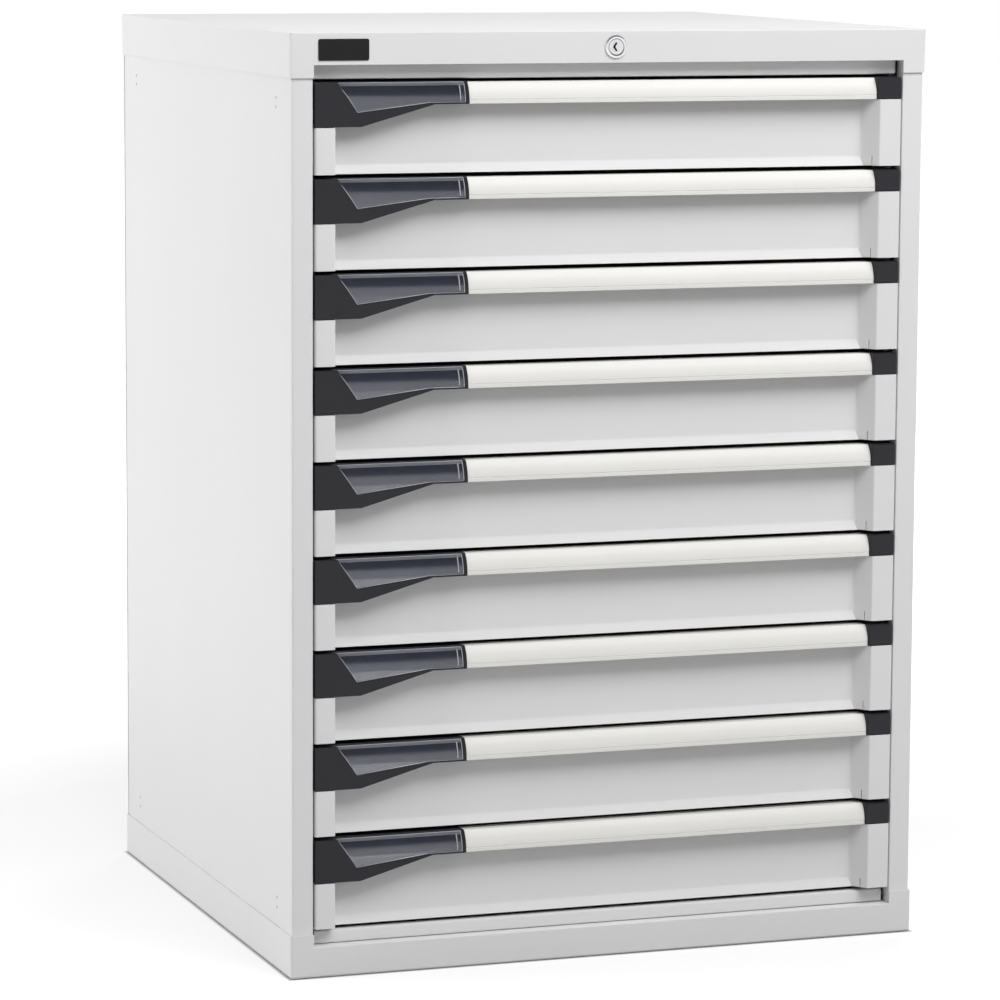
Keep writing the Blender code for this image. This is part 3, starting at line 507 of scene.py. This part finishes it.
def cap():
    """The cap, with the bends at its top drawn in to a third of their radius."""
    shape = merged("top_cover")
    low, high = (Vector(corner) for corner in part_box("top_cover"))
    for corner in shape.verts:
        reach = [min(corner.co[axis] - low[axis], high[axis] - corner.co[axis]) for axis in range(3)]
        tight = [
            axis for axis in (0, 1)
            if max(reach[axis], reach[2]) < CAP_BEND and min(reach[axis], reach[2]) < CAP_SKIN
            and corner.co.z > high.z - CAP_BEND
        ]
        for axis in (*tight, 2) if tight else ():
            edge = high[axis] if corner.co[axis] > (low[axis] + high[axis]) / 2 else low[axis]
            corner.co[axis] = edge + (corner.co[axis] - edge) / CAP_TIGHTER
    put(shape, "top_cover_eased", "cabinet", [COAT], ["top_cover"], crease=50)


def housing():
    """The base, the cap, the side walls and the two crossbars."""
    base()
    cap()
    for node in ("left_side_panel", "right_side_panel"):
        eased_copy(node, "cabinet", COAT, SHEET_EASE)
    for node in ("upper_crossbar", "lower_crossbar"):
        eased_copy(node, "cabinet", COAT, CROSSBAR_EASE)


def carried_over():
    """Finishes for the nodes that stay as they are."""
    for node in ("back_panel", "left_runner_frame", "right_runner_frame"):
        nodes[node].material_slots[0].material = COAT
    for node in ("lock_cam", "lock_rod", "locking_bar"):
        nodes[node].material_slots[0].material = ZINC


def drawer_tray(number):
    """One drawer's sheet, with soft bends between the panel, its leaning lip and the right wall."""
    shape = merged(f"drawer_tray_{number}")
    foot = drawer_foot(number)
    bend = foot + PANEL_BEND
    for corner in shape.verts:
        drop = bend - corner.co.z
        behind = corner.co.y - PANEL_FACE + LIP_LEAN * drop / LIP_HEIGHT
        if drop > SLACK and -SLACK < behind < LIP_DEPTH:
            setback = FLATTER_LEAN * drop / LIP_HEIGHT
            corner.co.y += setback
            if RIGHT_WALL_FOOT < corner.co.x < RIGHT_WALL_FOOT + RIGHT_CORNER[0]:
                corner.co.x -= setback * RIGHT_WALL_SLOPE
    bends = {
        edge for edge in shape.edges
        if all(
            corner.co.x > RIGHT_WALL_FOOT - SLACK
            and PANEL_FACE - RIGHT_CORNER[1] < corner.co.y < PANEL_FACE + SLACK
            for corner in edge.verts
        )
    }
    ease(shape, [edge for edge in sharp_edges(shape) if edge not in bends], SHEET_EASE)

    # Narrow strips beside the bends carry the shading from one flat face to the next
    high = (PANEL_HALF, PANEL_FACE + SLACK, foot + PANEL_HEIGHT)
    low = (-PANEL_HALF, PANEL_FACE - LIP_LEAN - SLACK, foot - 0.001)
    line_across(shape, faces_in(shape, low, high), (0, 0, bend + SOFT_BEND), (0, 0, 1))
    line_across(shape, faces_in(shape, low, high), (0, 0, bend - SOFT_BEND), (0, 0, 1))
    line_across(shape, faces_in(shape, low, high), (RIGHT_WALL_FOOT - WIDE_BEND, 0, 0), (1, 0, 0))
    low = (RIGHT_WALL_FOOT - SLACK, FRONT - SLACK, foot - 0.001)
    line_across(shape, faces_in(shape, low, high), (0, PANEL_FACE - WIDE_BEND, 0), (0, 1, 0))
    put(
        shape, f"drawer_tray_{number}_eased", f"drawer_{number}", [COAT],
        [f"drawer_tray_{number}"], crease=58,
    )


def grip(number):
    """The cream profile and the dark cap at its end."""
    eased_copy(f"grip_profile_{number}", f"drawer_{number}", CREAM, SHEET_EASE, 40)
    eased_copy(f"end_cap_{number}", f"drawer_{number}", MOULDING, END_CAP_EASE, 40, 3)


def release_grip(number):
    """The lever, with the pocket behind its window in a smoother plastic."""
    node = f"release_grip_{number}"
    shape = merged(node)
    ease(shape, sharp_edges(shape, 40), LEVER_EASE)
    low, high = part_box(f"label_window_{number}")
    flat_top = drawer_foot(number) + LEVER_FLAT
    for face in shape.faces:
        middle = face.calc_center_median()
        rise = min(max(middle.z - flat_top, 0), LEVER_RADIUS)
        front = FRONT + LEVER_RADIUS - math.sqrt(LEVER_RADIUS ** 2 - rise ** 2)
        behind_window = low[0] < middle.x < high[0] and low[2] < middle.z < high[2]
        in_pocket = behind_window and POCKET_DEPTH[0] < middle.y - front < POCKET_DEPTH[1]
        face.material_index = 1 if in_pocket else 0
    put(shape, f"{node}_eased", f"release_{number}", [MOULDING, POCKET], [node])


def label_window(number):
    """The clear cover, with its cut edges frosted, and painted highlights on a thin band round its front and on
    a strip near its right end.
    """
    node = f"label_window_{number}"
    shape = merged(node)
    ease(shape, sharp_edges(shape, 40), WINDOW_EASE)
    shape.normal_update()
    front = [face for face in shape.faces if face.normal.y < -0.5 and abs(face.normal.x) < 0.3]
    # A thin band round the front and a strip near the right end take the lighter colour as painted highlights
    rim = bmesh.ops.inset_region(
        shape, faces=front, thickness=HIGHLIGHT_BAND_WIDTH, depth=0, use_even_offset=True
    )["faces"]
    for across in HIGHLIGHT_STREAK:
        cut = line_across(shape, front, (across, 0, 0), (1, 0, 0))
        front = [item for item in cut if isinstance(item, bmesh.types.BMFace)]
    low, high = (Vector(corner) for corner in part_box(node))
    shape.normal_update()
    for face in shape.faces:
        facing, middle = face.normal, face.calc_center_median()
        cut_edge = abs(facing.x) > 0.35 or facing.z > 0.9 or facing.z < -0.5
        on_streak = (
            facing.y < -0.5 and HIGHLIGHT_STREAK[0] < middle.x < HIGHLIGHT_STREAK[1]
            and low.z + STREAK_FOOT < middle.z < high.z - STREAK_HEAD
        )
        if cut_edge or on_streak or face in rim:
            face.material_index = 1
    put(shape, f"{node}_eased", f"release_{number}", [CLEAR, RIM_AND_HIGHLIGHT], [node])


def turned(profile, steps=96):
    """A closed ring about the lock's axis, from a closed profile of radius and depth."""
    shape = bmesh.new()
    corners = [shape.verts.new(LOCK + Vector((radius, depth, 0))) for radius, depth in profile]
    face = shape.faces.new(corners)
    bmesh.ops.spin(
        shape, geom=[face, *face.verts, *face.edges], cent=LOCK, axis=(0, 1, 0), angle=2 * math.pi,
        steps=steps, use_merge=True, use_duplicate=False,
    )
    profiles = [made for made in shape.faces if len(made.verts) > 4]
    bmesh.ops.delete(shape, geom=profiles, context="FACES_ONLY")
    bmesh.ops.remove_doubles(shape, verts=shape.verts, dist=CUT)
    bmesh.ops.recalc_face_normals(shape, faces=shape.faces)
    return shape


def lock():
    """The bezel, turned afresh, and the plug, whose keyway is widened and painted black inside as painted
    shade.
    """
    put(turned(BEZEL), "lock_bezel", "cabinet", [CHROME], ["lock_housing"], crease=50)
    shape = merged("lock_plug")
    for corner in shape.verts:
        in_keyway = abs(corner.co.x) < KEYWAY_HALF[0] and abs(corner.co.z - LOCK.z) < KEYWAY_HALF[1]
        if in_keyway and corner.co.y < FRONT + KEYWAY_DEPTH:
            corner.co.x *= KEYWAY_WIDER
    ease(shape, sharp_edges(shape, 40), PLUG_EASE)
    shape.normal_update()
    # The keyway's walls take the black as painted shade inside the slot
    for face in shape.faces:
        middle = face.calc_center_median() - LOCK
        in_keyway = abs(middle.x) < KEYWAY_SHADE_HALF[0] and abs(middle.z) < KEYWAY_SHADE_HALF[1]
        deep = KEYWAY_SHADE_DEPTH[0] < middle.y < KEYWAY_SHADE_DEPTH[1]
        if in_keyway and deep and face.normal.y > -0.8:
            face.material_index = 1
    put(shape, "lock_plug_eased", "lock_barrel", [CHROME, BLACK_AND_KEYWAY_SHADE], ["lock_plug"])


def name_plate():
    """The bare plate at the left of the rail, with a low rim."""
    shape = bmesh.new()
    place = Matrix.Translation(PLATE_CENTRE) @ Matrix.Diagonal((*PLATE_SIZE, 1))
    bmesh.ops.create_cube(shape, size=1, matrix=place)
    upright = [
        edge for edge in shape.edges
        if abs(edge.verts[0].co.y - edge.verts[1].co.y) > PLATE_SIZE[1] / 2
    ]
    ease(shape, upright, PLATE_CORNER, 5)
    front = [face for face in shape.faces if face.normal.y < -0.9]
    bmesh.ops.inset_region(shape, faces=front, thickness=PLATE_RIM, depth=-PLATE_SINK)
    ease(shape, sharp_edges(shape, 40), PLATE_EASE)
    put(shape, "bare_plate", "cabinet", [BLACK_AND_KEYWAY_SHADE], crease=50)


def weld_marks(name, spots, outward):
    """Small round spot-weld marks on a wall, in the darker coat as painted shade."""
    shape = bmesh.new()
    turn = outward.to_track_quat("Z", "Y").to_matrix().to_4x4()
    for spot in spots:
        place = Matrix.Translation(spot + outward * MARK_GAP)
        bmesh.ops.create_circle(shape, cap_ends=True, segments=20, radius=MARK_RADIUS, matrix=place @ turn)
    raised = bmesh.ops.extrude_face_region(shape, geom=list(shape.faces))["geom"]
    corners = [item for item in raised if isinstance(item, bmesh.types.BMVert)]
    bmesh.ops.translate(shape, vec=outward * MARK_HEIGHT, verts=corners)
    bmesh.ops.recalc_face_normals(shape, faces=shape.faces)
    put(shape, f"{name}_weld_marks", "cabinet", [SHADE], crease=30)


def all_weld_marks():
    """Pairs near the corners of the side walls, and a row down each edge of the back."""
    for side, name in ((-1, "left"), (1, "right")):
        spots = [Vector((side * SIDE_WALL, across, up)) for across in SIDE_MARKS_ACROSS for up in SIDE_MARKS_UP]
        weld_marks(name, spots, Vector((side, 0, 0)))
    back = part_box("back_panel")[1][1]
    spots = [Vector((side * BACK_MARKS_ACROSS, back, up)) for side in (-1, 1) for up in BACK_MARKS_UP]
    weld_marks("back", spots, Vector((0, 1, 0)))


def floor():
    """One large square, which rides on no body."""
    shape = bmesh.new()
    bmesh.ops.create_grid(shape, x_segments=1, y_segments=1, size=FLOOR_HALF)
    mesh = bpy.data.meshes.new("floor")
    shape.to_mesh(mesh)
    shape.free()
    mesh.materials.append(white_floor())
    ground = bpy.data.objects.new("floor", mesh)
    bpy.context.scene.collection.objects.link(ground)


def lamp(name, place, aim, width, height, power):
    """A softbox that faces a point and stays out of reflections and windows."""
    light = bpy.data.lights.new(name, "AREA")
    light.shape = "RECTANGLE"
    light.size, light.size_y = width, height
    light.energy = power
    box = bpy.data.objects.new(name, light)
    box.location = place
    box.rotation_euler = (Vector(aim) - Vector(place)).to_track_quat("-Z", "Y").to_euler()
    box.visible_glossy = False
    box.visible_transmission = False
    bpy.context.scene.collection.objects.link(box)


def studio():
    """White all round, with a ceiling that looks darker in glossy surfaces and through windows."""
    world = bpy.data.worlds.new("studio")
    bpy.context.scene.world = world
    finish = Finish(world)
    seen, mirrored, through = (finish.ray(kind) for kind in ("Camera", "Glossy", "Transmission"))
    direction = finish.node("ShaderNodeTexCoord", output="Generated")
    ceiling = finish.ramp(CEILING, finish.part("Z", direction))
    matt = (1 - mirrored) * (1 - through)
    strength = seen + (1 - seen) * ((1 - matt) * ceiling + AMBIENT * matt)
    background = finish.node("ShaderNodeBackground", {}, {"Color": (1, 1, 1, 1), "Strength": strength})
    finish.node("ShaderNodeOutputWorld", {}, {"Surface": background})
    for softbox in SOFTBOXES:
        lamp(*softbox)


def camera():
    """The photograph's viewpoint, with no shift and no depth of field."""
    yaw, pitch, roll = (math.radians(turn) for turn in CAMERA_TURNS)
    forward = Vector((math.sin(yaw) * math.cos(pitch), math.cos(yaw) * math.cos(pitch), -math.sin(pitch)))
    level = Vector((math.cos(yaw), -math.sin(yaw), 0))
    upward = level.cross(forward)
    right = math.cos(roll) * level + math.sin(roll) * upward
    top = -math.sin(roll) * level + math.cos(roll) * upward
    lens = bpy.data.cameras.new("camera")
    lens.lens = LENS
    lens.sensor_width = SENSOR
    lens.clip_end = 100
    view = bpy.data.objects.new("camera", lens)
    turn = Matrix((right, top, -forward)).transposed().to_4x4()
    view.matrix_world = Matrix.Translation(CAMERA_PLACE) @ turn
    bpy.context.scene.collection.objects.link(view)
    bpy.context.scene.camera = view


camera()
studio()
floor()
carried_over()
housing()
lock()
name_plate()
all_weld_marks()
for number in DRAWERS:
    drawer_tray(number)
    grip(number)
    release_grip(number)
    label_window(number)
bpy.context.scene.view_settings.view_transform = "Standard"
